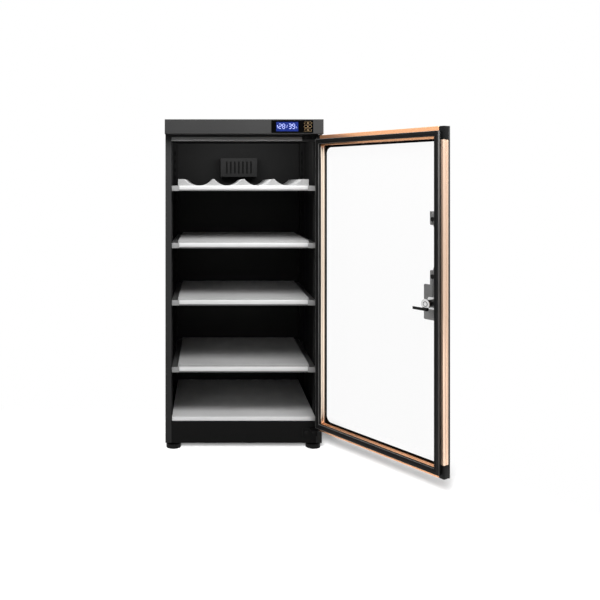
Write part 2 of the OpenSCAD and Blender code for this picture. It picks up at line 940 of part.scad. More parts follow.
module corner_blocks_hinge() {
    color(soft_black)
        swing()
            difference() {
                block_pair();
                for (z = [door_z - over, door_top - pin_in - over])
                    translate([pivot_x, pivot_y, z])
                        cylinder(r = pin_r + running, h = pin_in + 2 * over);
            }
}

module corner_blocks_latch() {
    color(soft_black)
        swing()
            mirror([1, 0, 0])
                block_pair();
}

module door_glass() {
    color([0.75, 0.8, 0.8, 0.4])
        swing()
            difference() {
                upright([glass_out_y, glass_y])
                    translate([0, (door_z + door_top) / 2])
                        rounded(2 * door_x, door_top - door_z, glass_r);
                rod_y(lock_x, lock_z, barrel_r + fit, [glass_out_y - over, glass_y + over]);
                for (i = [-1, 1])
                    rod_y(lock_x, handle_z + i * handle_pitch / 2, screw_r + fit, [glass_out_y - over, glass_y + over]);
            }
}

// A straight strip of gasket, its bellows drawn in across or upwards
module gasket_strip(x, z, in_x, in_z) {
    neck_y = frame_y + gasket_base;
    head_y = neck_y + gasket_neck;
    span(x, [frame_y, neck_y], z);
    span([x[0] + in_x, x[1] - in_x], [neck_y, head_y], [z[0] + in_z, z[1] - in_z]);
    span(x, [head_y, gasket_y], z);
}

module door_gasket() {
    low = door_z + frame_lip;
    high = door_top - top_lip;
    color(soft_black)
        swing() {
            for (i = [0, 1])
                mirror([i, 0, 0])
                    gasket_strip([frame_in_x, door_x - frame_lip], [low, high], gasket_waist, 0);
            for (z = [low, high - gasket_w])
                gasket_strip([-frame_in_x + fit, frame_in_x - fit], [z, z + gasket_w], 0, gasket_waist);
        }
}

// Handle and lock
module bow_side() {
    translate([glass_out_y, handle_z])
        intersection() {
            translate([bow_r - handle_out, 0])
                difference() {
                    circle(r = bow_r);
                    circle(r = bow_r - handle_t);
                }
            translate([-handle_out - over, -handle_l])
                square([handle_out + over, 2 * handle_l]);
        }
}

module door_handle() {
    seat_z = handle_l / 2 - seat_l / 2;
    color([0.5, 0.5, 0.51])
        swing()
            difference() {
                union() {
                    translate([lock_x, 0, 0])
                        rotate([90, 0, 90])
                            linear_extrude(handle_w, center = true)
                                bow_side();
                    for (i = [-1, 1])
                        upright([glass_out_y - seat_t, glass_out_y])
                            translate([lock_x, handle_z + i * seat_z])
                                rounded(handle_w, seat_l, plate_r);
                    upright([glass_out_y - plate_t, glass_out_y])
                        translate([lock_x, lock_z])
                            rounded(plate_w, plate_h, plate_r);
                    span([lock_x - handle_w / 2, lock_x + handle_w / 2], [glass_out_y - plate_t, glass_out_y],
                        [lock_z, handle_z - seat_z]);
                }
                rod_y(lock_x, lock_z, barrel_r + fit, [glass_out_y - plate_t - over, glass_out_y + over]);
                for (i = [-1, 1])
                    rod_y(lock_x, handle_z + i * handle_pitch / 2, screw_r + running,
                        [glass_out_y - seat_t + slip, glass_out_y + over]);
            }
}

module handle_screws() {
    color(soft_black)
        swing()
            for (i = [-1, 1]) {
                rod_y(lock_x, handle_z + i * handle_pitch / 2, screw_r, [glass_out_y - seat_t + 2 * slip, glass_y]);
                rod_y(lock_x, handle_z + i * handle_pitch / 2, screw_head_r, [glass_y, glass_y + screw_head_h]);
            }
}

module lock_barrel() {
    color(soft_black)
        swing()
            difference() {
                union() {
                    rod_y(lock_x, lock_z, barrel_r, [flange_out_y, hub_y - slip]);
                    rod_y(lock_x, lock_z, lock_flange_r, [flange_out_y, flange_out_y + lock_flange_t]);
                }
                rod_y(lock_x, lock_z, plug_r + running, [flange_out_y - over, hub_y + over]);
            }
}

module lock_nut() {
    color(chrome)
        swing()
            difference() {
                translate([lock_x, glass_y + lock_nut_t, lock_z])
                    rotate([90, 0, 0])
                        cylinder(r = lock_nut_w / 2, h = lock_nut_t, $fn = 6);
                rod_y(lock_x, lock_z, barrel_r + running, [glass_y - over, glass_y + lock_nut_t + over]);
            }
}

module lock_plug() {
    color(chrome)
        swing()
            difference() {
                rod_y(lock_x, lock_z, plug_r, [flange_out_y - plug_proud, cap_y]);
                // Key slot
                span([lock_x - cam_t / 4, lock_x + cam_t / 4], [flange_out_y - over, flange_out_y + over],
                    [lock_z - plug_r / 2, lock_z + plug_r / 2]);
            }
}

module lock_cam() {
    arm_z = [lock_z - cap_r - cam_w / 2, lock_z - cap_r + cam_w / 2];
    color(soft_black)
        swing()
            difference() {
                union() {
                    rod_y(lock_x, lock_z, cap_r - slip, [hub_y, cap_y]);
                    span([lock_x - cam_w, lock_x + cam_w], [hub_y, cam_y + cam_t], arm_z);
                    span([lock_x - cam_w, lock_x + cam_l], [cam_y, cam_y + cam_t], arm_z);
                }
                rod_y(lock_x, lock_z, plug_r + running, [hub_y - over, cap_y + over]);
                rod_y(lock_x, lock_z, cap_r + fit, [cap_y, cam_y]);
            }
}

module cam_cap() {
    color(chrome)
        swing()
            difference() {
                rod_y(lock_x, lock_z, cap_r, [cap_y, cap_y + cap_t]);
                // Ring mark on its face
                difference() {
                    rod_y(lock_x, lock_z, cap_r * 2 / 3, [cap_y + cap_t - slip, cap_y + cap_t + over]);
                    rod_y(lock_x, lock_z, cap_r / 2, [cap_y, cap_y + cap_t + over]);
                }
            }
}

side_panel_left();
side_panel_right();
top_panel();
floor_panel();
base_panel();
kick_plate();
back_panel();
header_shell();
display_panel();
lcd_module();
control_board();
power_inlet();
support_posts_left();
support_posts_right();
slide_channels_left();
slide_channels_right();
dryer_housing();
dryer_grille();
desiccant_pack();
humidity_sensor();
hinge_bracket_top();
hinge_bracket_bottom();
hinge_pins();
cabinet_screws();
floor_mat();
foot_nuts();
door_stile_hinge();
door_stile_latch();
door_rail_top();
door_rail_bottom();
corner_blocks_hinge();
corner_blocks_latch();
door_glass();
door_gasket();
door_handle();
handle_screws();
lock_barrel();
lock_nut();
lock_plug();
lock_cam();
cam_cap();
tray(shelf_z[0]);  // tray_1
tray(shelf_z[1]);  // tray_2
tray(shelf_z[2]);  // tray_3
tray(shelf_z[3]);  // tray_4
front_rail(shelf_z[0]);  // front_rail_1
front_rail(shelf_z[1]);  // front_rail_2
front_rail(shelf_z[2]);  // front_rail_3
front_rail(shelf_z[3]);  // front_rail_4
scalloped_mat(shelf_z[0]);  // cradle_pad
flat_mat(shelf_z[1]);  // shelf_mat_2
flat_mat(shelf_z[2]);  // shelf_mat_3
flat_mat(shelf_z[3]);  // shelf_mat_4
button(button_steps[0]);  // button_up
button(button_steps[1]);  // button_set
button(button_steps[2]);  // button_down
translate([-foot_x, -foot_y, 0]) foot();  // foot_front_left
translate([foot_x, -foot_y, 0]) foot();  // foot_front_right
translate([-foot_x, foot_y, 0]) foot();  // foot_back_left
translate([foot_x, foot_y, 0]) foot();  // foot_back_right
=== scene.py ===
# %% [markdown]
# # Camera dry cabinet
# A steel cabinet with a framed glass door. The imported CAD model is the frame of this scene: it fixes every
# size and place. Blender adds what the eye looks for, such as foam, rubber, print, rounded metal and light.

# %% Load the frame
import math

import bpy
from mathutils import Matrix, Vector


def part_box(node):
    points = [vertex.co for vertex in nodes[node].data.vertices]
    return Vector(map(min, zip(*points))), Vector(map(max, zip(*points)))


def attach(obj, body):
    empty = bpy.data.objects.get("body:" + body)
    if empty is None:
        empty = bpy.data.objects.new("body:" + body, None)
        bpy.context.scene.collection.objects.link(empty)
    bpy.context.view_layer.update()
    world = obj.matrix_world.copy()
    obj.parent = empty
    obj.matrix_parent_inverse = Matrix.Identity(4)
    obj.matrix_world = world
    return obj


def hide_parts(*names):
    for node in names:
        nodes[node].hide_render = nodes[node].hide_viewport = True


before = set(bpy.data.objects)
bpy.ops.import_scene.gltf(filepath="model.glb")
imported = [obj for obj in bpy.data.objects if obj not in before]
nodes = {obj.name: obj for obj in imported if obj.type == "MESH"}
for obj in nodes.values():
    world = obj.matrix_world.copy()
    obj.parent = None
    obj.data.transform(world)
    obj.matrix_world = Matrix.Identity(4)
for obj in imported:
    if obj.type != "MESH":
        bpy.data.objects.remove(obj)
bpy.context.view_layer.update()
mm = 0.001

# %% [markdown]
# The camera stands where the photographer stood: level with the upper shelves and left of the middle. Turned
# down toward the cabinet, it would make the upright edges lean. The lens is shifted instead, which keeps them
# upright, as in a studio shot.

# %% Camera
camera_data = bpy.data.cameras.new("camera")
camera = bpy.data.objects.new("camera", camera_data)
bpy.context.scene.collection.objects.link(camera)
camera.location = (-0.0875, -2.104, 0.678)
camera.rotation_euler = (math.radians(90), 0, 0)
camera_data.sensor_width = 36
camera_data.lens = 45
camera_data.shift_x = 0.151
camera_data.shift_y = -0.193
bpy.context.scene.camera = camera
print("Camera at", tuple(camera.location))

# %% [markdown]
# Shader maths reads best as plain sums. Number wraps one output of a node, and each operator on it adds the
# Math node that does the sum. Finish holds one material and adds any other node by its type.

# %% Shader maths
class Number:
    """One number that changes over a surface."""

    def __init__(self, tree, socket):
        self.tree = tree
        self.socket = socket

    def math(self, operation, first, second):
        node = self.tree.nodes.new("ShaderNodeMath")
        node.operation = operation
        for place, value in zip(node.inputs, (first, second)):
            if isinstance(value, Number):
                self.tree.links.new(value.socket, place)
            else:
                place.default_value = value
        return Number(self.tree, node.outputs[0])

    def __abs__(self):
        return self.math("ABSOLUTE", self, 0)

    def __add__(self, other):
        return self.math("ADD", self, other)

    def __sub__(self, other):
        return self.math("SUBTRACT", self, other)

    def __rsub__(self, other):
        return self.math("SUBTRACT", other, self)

    def __mul__(self, other):
        return self.math("MULTIPLY", self, other)

    __radd__ = __add__
    __rmul__ = __mul__


class Finish:
    """A material made of nodes round one Principled shader."""

    def __init__(self, name, **constants):
        self.material = bpy.data.materials.new(name)
        self.material.use_nodes = True
        self.tree = self.material.node_tree
        self.shader = self.tree.nodes["Principled BSDF"]
        self.place = self.node("ShaderNodeTexCoord").outputs["Object"]
        for words, value in constants.items():
            self.feed(words, value)
        print("Finish", name)

    def feed(self, words, value):
        """Sets or links a socket of the shader, whose name is written as plain words."""
        socket = self.shader.inputs[words.replace("_", " ").title().replace("Ior", "IOR")]
        self.put(socket, value)

    def put(self, socket, value):
        if isinstance(value, Number):
            value = value.socket
        if isinstance(value, bpy.types.NodeSocket):
            self.tree.links.new(value, socket)
        else:
            socket.default_value = value

    def node(self, kind, settings=None, inputs=None):
        """Any other node: its settings come first, then the values or links of its sockets."""
        node = self.tree.nodes.new(kind)
        for words, value in (settings or {}).items():
            setattr(node, words, value)
        for words, value in (inputs or {}).items():
            self.put(node.inputs[words], value)
        return node

    def noise(self, scale, detail, stretch=(1, 1, 1), turn=0):
        """Noise in the piece's own place. Stretch squeezes or draws it out along each axis."""
        mapping = self.node("ShaderNodeMapping", None,
            {"Vector": self.place, "Scale": stretch, "Rotation": (0, 0, turn)})
        noise = self.node("ShaderNodeTexNoise", None,
            {"Vector": mapping.outputs[0], "Scale": scale, "Detail": detail})
        return Number(self.tree, noise.outputs["Factor" if "Factor" in noise.outputs else "Fac"])

    def between(self, factor, dark, light):
        """A colour that runs from dark to light as the factor goes from 0 to 1."""
        mix = self.node("ShaderNodeMix", {"data_type": "RGBA"})
        self.put(mix.inputs[0], factor)
        for place, colour in ((6, dark), (7, light)):
            self.put(mix.inputs[place], (*colour, 1) if isinstance(colour, tuple) else colour)
        return mix.outputs[2]

    def ramp(self, value, start, end, low, high, way="LINEAR"):
        """Runs from low to high while the value goes from start to end, and stays level past them."""
        node = self.node("ShaderNodeMapRange", {"interpolation_type": way},
            {"Value": value, "From Min": start, "From Max": end, "To Min": low, "To Max": high})
        return Number(self.tree, node.outputs[0])

    def bump(self, height, strength, distance):
        node = self.node("ShaderNodeBump", None,
            {"Height": height, "Strength": strength, "Distance": distance})
        self.feed("normal", node.outputs[0])


def grey(level):
    """A linear colour from a grey seen on screen, 0 to 255."""
    shown = level / 255
    linear = shown / 12.92 if shown <= 0.04045 else ((shown + 0.055) / 1.055) ** 2.4
    return (linear, linear, linear)


def tint(red, green, blue):
    """A linear colour from the red, green and blue seen on screen."""
    return (grey(red)[0], grey(green)[0], grey(blue)[0])


# %% [markdown]
# The cabinet is powder coated. Powder melts into a skin like very fine orange peel, so the paint has a small
# bump, a slightly uneven gloss and a faint change of tone. The body is painted darker inside than outside:
# that is painted shade, for the same coat gets less light inside. A second piece could carry the darker
# inside, but one material does it too: a mask on the panel's own coordinates picks the inside, and it changes
# within the sheet's thickness, where nobody sees it.

# %% Paint
def inside_cabinet(finish):
    """1 inside the sheet steel and 0 outside, with the change within the sheet's thickness."""
    low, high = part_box("side_panel_left")
    skin, fade = 0.6 * mm, 0.2 * mm
    apart = finish.node("ShaderNodeSeparateXYZ", None, {"Vector": finish.place})
    x, y, z = (Number(finish.tree, output) for output in apart.outputs)
    across, along, up = (finish.ramp(distance, face - skin, face - skin + fade, 1, 0)
        for distance, face in ((abs(x), -low.x), (abs(y), high.y), (z, high.z)))
    return across * along * up


def powder_coat(name, level, gloss, inner_level):
    finish = Finish(name, specular_ior_level=0.06)
    peel = finish.noise(scale=900, detail=2)
    cloud = finish.noise(scale=6, detail=2)
    outer = finish.between(cloud, grey(level * 0.94), grey(level * 1.06))
    # The inner level is painted shade: the inside has the same coat as the outside, only less light reaches
    # it.
    inner = finish.between(cloud, grey(inner_level * 0.9), grey(inner_level * 1.1))
    finish.feed("base_color", finish.between(inside_cabinet(finish), outer, inner))
    finish.feed("roughness", gloss + 0.1 * (cloud - 0.5) + 0.06 * peel)
    finish.bump(peel, strength=0.25, distance=0.3 * mm)
    return finish.material


body_paint = powder_coat("body_paint", level=62, gloss=0.42, inner_level=46)
# Painted light: a paint far paler than the body's, for the lintel's face that the header shades.
lintel_light_paint = powder_coat("lintel_light_paint", level=188, gloss=0.4, inner_level=188)
# The plinth is painted darker than the body: painted shade for the dim light near the floor.
plinth_paint = powder_coat("plinth_paint", level=20, gloss=0.45, inner_level=26)
inner_paint = powder_coat("inner_paint", level=38, gloss=0.5, inner_level=36)

# %% [markdown]
# The door frame is rose gold aluminium, drawn and brushed along its length. Noise that is squeezed across
# the bar and long along it makes the brush lines, in the gloss as well as in the colour. Fine grooves could
# be modelled, but lines this thin are only seen as a sheen. The stile at the hinge stands close to the
# cabinet and gets less light, so its metal is painted a shade paler: painted light that makes up for it.

# %% Rose gold
door_turn = math.radians(124.5)
upright_lines, level_lines = (1500, 1500, 12), (12, 1500, 1500)


def rose_gold(name, lines, turn, dark, light):
    finish = Finish(name, metallic=0.7)
    brush = finish.noise(scale=1, detail=4, stretch=lines, turn=turn)
    finish.feed("base_color", finish.between(brush, dark, light))
    finish.feed("roughness", 0.22 + 0.06 * brush)
    finish.bump(brush, strength=0.06, distance=0.2 * mm)
    return finish.material


rose_upright = rose_gold("rose_gold_upright", upright_lines, 0,
    dark=tint(246, 208, 180), light=tint(252, 222, 198))
# Painted light: a paler copy of the rose gold for the hinge stile, which gets less light.
rose_painted_light = rose_gold("rose_gold_painted_light", upright_lines, 0,
    dark=tint(255, 234, 212), light=tint(255, 242, 226))
rose_level = rose_gold("rose_gold_level", level_lines, -door_turn,
    dark=tint(240, 164, 114), light=tint(252, 196, 150))

# %% [markdown]
# Moulded and rubber parts: black plastic with a fine grain, soft rubber with a dull sheen, and open-cell
# foam. Foam scatters light in its cells, so it is rough and a little sheeny. Its cells are far too many to
# model, so the bump is made of them, and the colour is darker down in each cell: painted shade, mixed with a
# random tone of wear.

# %% Plastic, rubber and foam
def moulded(name, level, gloss, grain=1400, depth=0.2):
    finish = Finish(name, specular_ior_level=0.12)
    spark = finish.noise(scale=grain, detail=2)
    cloud = finish.noise(scale=14, detail=2)
    finish.feed("base_color", finish.between(cloud, grey(level * 0.85), grey(level * 1.15)))
    finish.feed("roughness", gloss + 0.12 * (spark - 0.5))
    finish.bump(spark, strength=depth, distance=0.3 * mm)
    return finish.material


def foam(name, level):
    finish = Finish(name, roughness=0.95, sheen_weight=0.25, sheen_roughness=0.6)
    cells = finish.node("ShaderNodeTexVoronoi", None, {"Vector": finish.place, "Scale": 900})
    depth = Number(finish.tree, cells.outputs["Distance"])
    wear = finish.noise(scale=9, detail=3)
    # Darker where the cells sink in: painted shade in the pits, added to a random tone of wear.
    shade = 0.55 * wear + 0.6 * depth
    finish.feed("base_color", finish.between(shade, grey(level * 0.82), grey(level * 1.12)))
    finish.bump(depth, strength=0.5, distance=0.6 * mm)
    return finish.material


gasket_rubber = moulded("gasket_rubber", level=22, gloss=0.4, grain=700, depth=0.1)
# A painted highlight: rubber far paler than the gasket's, for the lit edges of its folds.
fold_highlight_rubber = moulded("fold_highlight_rubber", level=125, gloss=0.45, grain=700, depth=0.1)
block_plastic = moulded("block_plastic", level=18, gloss=0.42)
unit_plastic = moulded("unit_plastic", level=38, gloss=0.42)
foot_plastic = moulded("foot_plastic", level=20, gloss=0.55)
# Dark felt that stands in for the shade behind the dryer's slots.
filter_and_shade_felt = moulded("filter_and_shade_felt", level=34, gloss=0.9, grain=500, depth=0.6)
board_green = moulded("board_green", level=60, gloss=0.4)
shelf_foam = foam("shelf_foam", level=174)
floor_foam = foam("floor_foam", level=206)
desiccant_cloth = foam("desiccant_cloth", level=205)

# %% [markdown]
# Bare metals: zinc plate on the slides, silver aluminium on the shelf rails, chrome on the lock. Each has
# brush lines or handling marks in its gloss, since clean metal without them looks like plastic. The rails
# are anodised, and that skin hides most of the mirror below it, so they are only a part metal.

# %% Bare metals
def bare_metal(name, level, metallic, gloss, lines=(20, 900, 900)):
    finish = Finish(name, metallic=metallic)
    brush = finish.noise(scale=1, detail=4, stretch=lines)
    finish.feed("base_color", finish.between(brush, grey(level * 0.92), grey(level * 1.04)))
    finish.feed("roughness", gloss + 0.15 * brush)
    finish.bump(brush, strength=0.1, distance=0.2 * mm)
    return finish.material


slide_zinc = bare_metal("slide_zinc", level=150, metallic=0.8, gloss=0.3, lines=(900, 20, 900))
rail_silver = bare_metal("rail_silver", level=240, metallic=0.3, gloss=0.35)
# Painted shade: a darker copy of the rail's metal, for the lip that lies in the band's shade.
rail_shade = bare_metal("rail_shade", level=122, metallic=0.2, gloss=0.4)
rail_cap = bare_metal("rail_cap", level=168, metallic=0.1, gloss=0.4, lines=(300, 300, 300))
chrome = bare_metal("chrome", level=214, metallic=1.0, gloss=0.08, lines=(60, 60, 60))
handle_grey = bare_metal("handle_grey", level=128, metallic=0.6, gloss=0.35, lines=(700, 700, 20))

# %% [markdown]
# Glass and light: the door is clear float glass with a dull dark edge, the display window is glossy black
# acrylic, and the lit display glows blue. The gold print round the buttons glows a little too, though print
# is
# no lamp: painted light that brightens it. Clear glass could bend the light with transmission, but it is only
# a thin flat sheet. A low alpha does for it, and the white room behind it stays white.

# %% Glass and display
clear_glass = Finish("clear_glass", base_color=(*grey(246), 1), roughness=0.03, alpha=0.03).material
clear_glass.surface_render_method = "BLENDED"


def glossy_black(name):
    finish = Finish(name, specular_ior_level=0.02)
    smear = finish.noise(scale=40, detail=2)
    finish.feed("base_color", finish.between(smear, grey(3), grey(6)))
    finish.feed("roughness", 0.06 + 0.08 * smear)
    return finish.material


def lit(name, dark, light, strength):
    finish = Finish(name, roughness=0.3, specular_ior_level=0.05, emission_strength=strength)
    glow = finish.noise(scale=120, detail=2)
    colour = finish.between(glow, dark, light)
    finish.feed("base_color", colour)
    finish.feed("emission_color", colour)
    return finish.material


glass_edge = moulded("glass_edge", level=78, gloss=0.2, grain=300, depth=0.05)
window_black = glossy_black("window_black")
display_blue = lit("display_blue", dark=tint(18, 30, 90), light=tint(32, 50, 122), strength=0.24)
display_pale = lit("display_pale", dark=tint(150, 164, 236), light=tint(196, 206, 255), strength=0.36)
# Painted light: the gold print glows, though print gives no light of its own.
gold_print_glow = lit("gold_print_glow", dark=tint(150, 124, 88), light=tint(196, 168, 128), strength=0.1)

# %% [markdown]
# Every CAD node that keeps its shape now gets its finish, and so do those that a modelled piece stands for
# later. A node's slots are cleared, and one slot then holds the finish of what the node is made of.

# %% Finishes of the CAD nodes
wearing = {
    body_paint: ["side_panel_left", "side_panel_right", "top_panel", "back_panel", "header_shell"],
    plinth_paint: ["base_panel", "kick_plate", "hinge_bracket_top", "hinge_bracket_bottom"],
    inner_paint: ["floor_panel", "support_posts_left", "support_posts_right"],
    slide_zinc: ["slide_channels_left", "slide_channels_right", "foot_nuts", "tray_1", "tray_2",
        "tray_3", "tray_4"],
    rose_upright: ["door_stile_hinge", "door_stile_latch"],
    rose_level: ["door_rail_top", "door_rail_bottom"],
    block_plastic: ["corner_blocks_hinge", "corner_blocks_latch", "power_inlet", "handle_screws",
        "lock_barrel", "lock_cam", "cabinet_screws"],
    unit_plastic: ["dryer_housing", "dryer_grille", "humidity_sensor"],
    foot_plastic: ["foot_front_left", "foot_front_right", "foot_back_left", "foot_back_right"],
    window_black: ["display_panel", "button_up", "button_set", "button_down"],
    display_blue: ["lcd_module"],
    board_green: ["control_board"],
    clear_glass: ["door_glass"],
    chrome: ["hinge_pins", "lock_nut", "lock_plug", "cam_cap"],
    handle_grey: ["door_handle"],
    rail_silver: ["front_rail_1", "front_rail_2", "front_rail_3", "front_rail_4"],
}
for finish, names in wearing.items():
    for name in names:
        mesh = nodes[name].data
        mesh.materials.clear()
        mesh.materials.append(finish)
print("CAD nodes finished:", sum(len(names) for names in wearing.values()))

# %% [markdown]
# Modelling starts from a primitive that is added at its size and place.

# %% Modelling helpers
def clear_selection():
    for chosen in list(bpy.context.selected_objects):
        chosen.select_set(False)


def apply_place(piece):
    """Moves the piece's place, turn and size into its mesh."""
    clear_selection()
    piece.select_set(True)
    bpy.context.view_layer.objects.active = piece
    bpy.ops.object.transform_apply(location=True, rotation=True, scale=True)


def block(low, high):
    """A block between two corners."""
    clear_selection()
    low, high = Vector(low), Vector(high)
    bpy.ops.mesh.primitive_cube_add(size=1, location=(low + high) / 2, scale=high - low)
    piece = bpy.context.active_object
    apply_place(piece)
    return piece


def everything(place, normal):
    """The rule that picks all faces."""
    return True


def edit(piece, rule, *steps, kind="FACE"):
    """Selects the faces or edges that the rule picks, then runs the steps on them in edit mode."""
    clear_selection()
    piece.select_set(True)
    bpy.context.view_layer.objects.active = piece
    bpy.ops.object.mode_set(mode="EDIT")
    bpy.ops.mesh.select_mode(type=kind)
    bpy.ops.mesh.select_all(action="DESELECT")
    bpy.ops.object.mode_set(mode="OBJECT")
    mesh = piece.data
    for item in mesh.polygons if kind == "FACE" else mesh.edges:
        if kind == "FACE":
            item.select = rule(item.center, item.normal)
        else:
            ends = [mesh.vertices[i].co for i in item.vertices]
            item.select = rule((ends[0] + ends[1]) / 2, ends[1] - ends[0])
    bpy.ops.object.mode_set(mode="EDIT")
    for step in steps:
        step()
    bpy.ops.object.mode_set(mode="OBJECT")


def soften(piece, radius, segments=3, angle=40):
    """Rounds every edge that is sharper than the angle."""
    rounding = piece.modifiers.new("rounding", "BEVEL")
    rounding.width = radius
    rounding.segments = segments
    rounding.limit_method = "ANGLE"
    rounding.angle_limit = math.radians(angle)
    clear_selection()
    piece.select_set(True)
    bpy.context.view_layer.objects.active = piece
    bpy.ops.object.modifier_apply(modifier=rounding.name)
    bpy.ops.object.shade_smooth_by_angle(angle=math.radians(35))


def join(parts):
    """Joins the parts into the first of them."""
    clear_selection()
    for part in parts:
        part.select_set(True)
    bpy.context.view_layer.objects.active = parts[0]
    bpy.ops.object.join()
    return parts[0]


def hand_over(piece, name, body, finish, slot, *stands_for):
    """Names and finishes a piece, and says which body it rides on and what it stands for. The slot is not
    used.
    """
    piece.name = name
    piece.data.materials.clear()
    piece.data.materials.append(finish)
    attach(piece, body)
    if stands_for:
        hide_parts(*stands_for)
    print(name, "has", len(piece.data.polygons), "faces")


# %% [markdown]
# Foam mats lie on three shelves and on the floor. A mat is cut from a sheet, so its edges are slightly
# rounded and its top swells a little in the middle. Cloth could be blown up to swell it, but sheet foam is
# stiff and nearly flat. The top is inset twice instead, and each inner face raised.

# %% Foam mats
def flat_mat(node, body, finish):
    low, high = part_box(node)
    crown, edge_band, inner_band = 0.6 * mm, 4 * mm, 14 * mm
    mat = block(low, (high.x, high.y, high.z - crown))
    edit(mat, lambda place, normal: normal.z > 0.9,
        lambda: bpy.ops.mesh.inset(thickness=edge_band),
        lambda: bpy.ops.transform.translate(value=(0, 0, crown * 0.6)),
        lambda: bpy.ops.mesh.inset(thickness=inner_band),
        lambda: bpy.ops.transform.translate(value=(0, 0, crown * 0.4)))
    soften(mat, 1.6 * mm)
    hand_over(mat, node + "_foam", body, finish, "foam", node)


for number in (2, 3, 4):
    flat_mat(f"shelf_mat_{number}", f"shelf_{number}", shelf_foam)
flat_mat("floor_mat", "root", floor_foam)

# %% [markdown]
# The top shelf has a foam pad with four round hollows, so that round things don't roll. Cylinders could cut
# the hollows, but a grid gives cleaner faces: it is divided across, and each row of points drops into its
# hollow. The sheet is then extruded far down, and its lower points are lifted to the tray.

# %% Scalloped pad
def scalloped_pad():
    low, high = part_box("cradle_pad")
    middle = (low + high) / 2
    hollows, steps = 4, 240
    pitch, ridge, depth = 77.5 * mm, 6 * mm, 17 * mm
    half = (pitch - ridge) / 2
    radius = (half ** 2 + depth ** 2) / (2 * depth)
    print("Radius of a hollow in metres:", round(radius, 4))
    clear_selection()
    bpy.ops.mesh.primitive_grid_add(x_subdivisions=steps, y_subdivisions=2, size=1,
        location=(middle.x, middle.y, high.z))
    pad = bpy.context.active_object
    pad.scale = (high.x - low.x, high.y - low.y, 1)
    apply_place(pad)
    for point in pad.data.vertices:
        across = (point.co.x / pitch) % 1 * pitch - pitch / 2
        if abs(point.co.x) < hollows / 2 * pitch and abs(across) < half:
            point.co.z = high.z + radius - depth - math.sqrt(radius ** 2 - across ** 2)
    edit(pad, everything,
        lambda: bpy.ops.mesh.extrude_region_move(TRANSFORM_OT_translate={"value": (0, 0, -1)}))
    for point in pad.data.vertices:
        point.co.z = max(point.co.z, low.z)
    edit(pad, everything, lambda: bpy.ops.mesh.normals_make_consistent(inside=False))
    soften(pad, 1 * mm, segments=2, angle=50)
    hand_over(pad, "cradle_foam", "shelf_1", shelf_foam, "foam", "cradle_pad")


scalloped_pad()

# %% [markdown]
# What belongs to the door is easiest to model on the closed door, where its sides lie along the axes. It is
# then swung open about the hinge pins, which is how the CAD does it too. The matrix below is that swing, and
# the named depths are the steps from the frame's face to the glass and to the gasket.

# %% The door's swing
pin_low, pin_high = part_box("hinge_pins")
glass_low, glass_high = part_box("door_glass")
pivot = (pin_low + pin_high) / 2
pivot.z = 0
swing = Matrix.Translation(pivot) @ Matrix.Rotation(door_turn, 4, "Z") @ Matrix.Translation(-pivot)
pin_to_edge, pin_to_face = 7 * mm, 5.5 * mm
frame_depth, glass_depth, gasket_depth = 15 * mm, 4.5 * mm, 9.7 * mm
door_half = pivot.x + pin_to_edge
door_low, door_high = glass_low.z, glass_high.z
frame_face = pivot.y + pin_to_face
glass_inner = frame_face - frame_depth
glass_outer = glass_inner - glass_depth
gasket_face = frame_face + gasket_depth
print("Door width and height in metres:", round(2 * door_half, 4), round(door_high - door_low, 4))


def swing_open(piece):
    piece.matrix_world = swing @ piece.matrix_world
    apply_place(piece)


def ring(outer, inner, depth, corner=0.0):
    """A flat frame on the closed door. Outer and inner are (half width, low, high), depth is (from, to)."""
    half, low, high = outer
    middle, tiny = (low + high) / 2, 0.01 * mm
    clear_selection()
    bpy.ops.mesh.primitive_plane_add(size=1, location=(0, depth[0], middle), rotation=(math.pi / 2, 0, 0))
    piece = bpy.context.active_object
    piece.scale = (2 * half, high - low, 1)
    apply_place(piece)
    # A small inset makes the inner points, and each of them then moves to its corner of the opening
    edit(piece, everything,
        lambda: bpy.ops.mesh.inset(thickness=1 * mm),
        lambda: bpy.ops.mesh.delete(type="FACE"))
    for point in piece.data.vertices:
        if abs(point.co.x) < half - 0.5 * mm:
            point.co.x = math.copysign(inner[0], point.co.x)
            point.co.z = inner[1] if point.co.z < middle else inner[2]
    edit(piece, everything,
        lambda: bpy.ops.mesh.extrude_region_move(
            TRANSFORM_OT_translate={"value": (0, depth[1] - depth[0], 0)}),
        lambda: bpy.ops.mesh.select_all(action="SELECT"),
        lambda: bpy.ops.mesh.normals_make_consistent(inside=False))
    if corner:
        def at_inner_corner(place, way):
            through = abs(way.y) > tiny and abs(way.x) + abs(way.z) < tiny
            return through and abs(place.x) < inner[0] + 0.1 * mm
        edit(piece, at_inner_corner,
            lambda: bpy.ops.mesh.bevel(offset=corner, segments=10), kind="EDGE")
    return piece


# %% [markdown]
# The gasket is a hollow rubber profile that holds a magnet strip. From the side it looks like a bellows. Its
# profile could be swept along a curve round the door, but mitred corners come of themselves with rings, so
# it is a stack of rings of changing width, joined and rounded. The folds' outer edges show as pale lines.
# They are rings too, in a piece of their own whose rubber is painted much paler than the gasket: a painted
# highlight for the light those edges catch.

# %% Door gasket
def gasket_rings(layers):
    """A ring for each layer: two edges as shares of the gasket's width, two ends as shares of its depth."""
    lip, top_lip, width = 8 * mm, 10 * mm, 12 * mm
    depth = gasket_face - frame_face
    rings = []
    for edge, far_edge, start, end in layers:
        outer, inner = ((door_half - lip - share * width, door_low + lip + share * width,
            door_high - top_lip - share * width) for share in (edge, far_edge))
        piece = ring(outer, inner, (frame_face + start * depth, frame_face + end * depth))
        soften(piece, 0.45 * mm)
        rings.append(piece)
    whole = join(rings)
    swing_open(whole)
    return whole


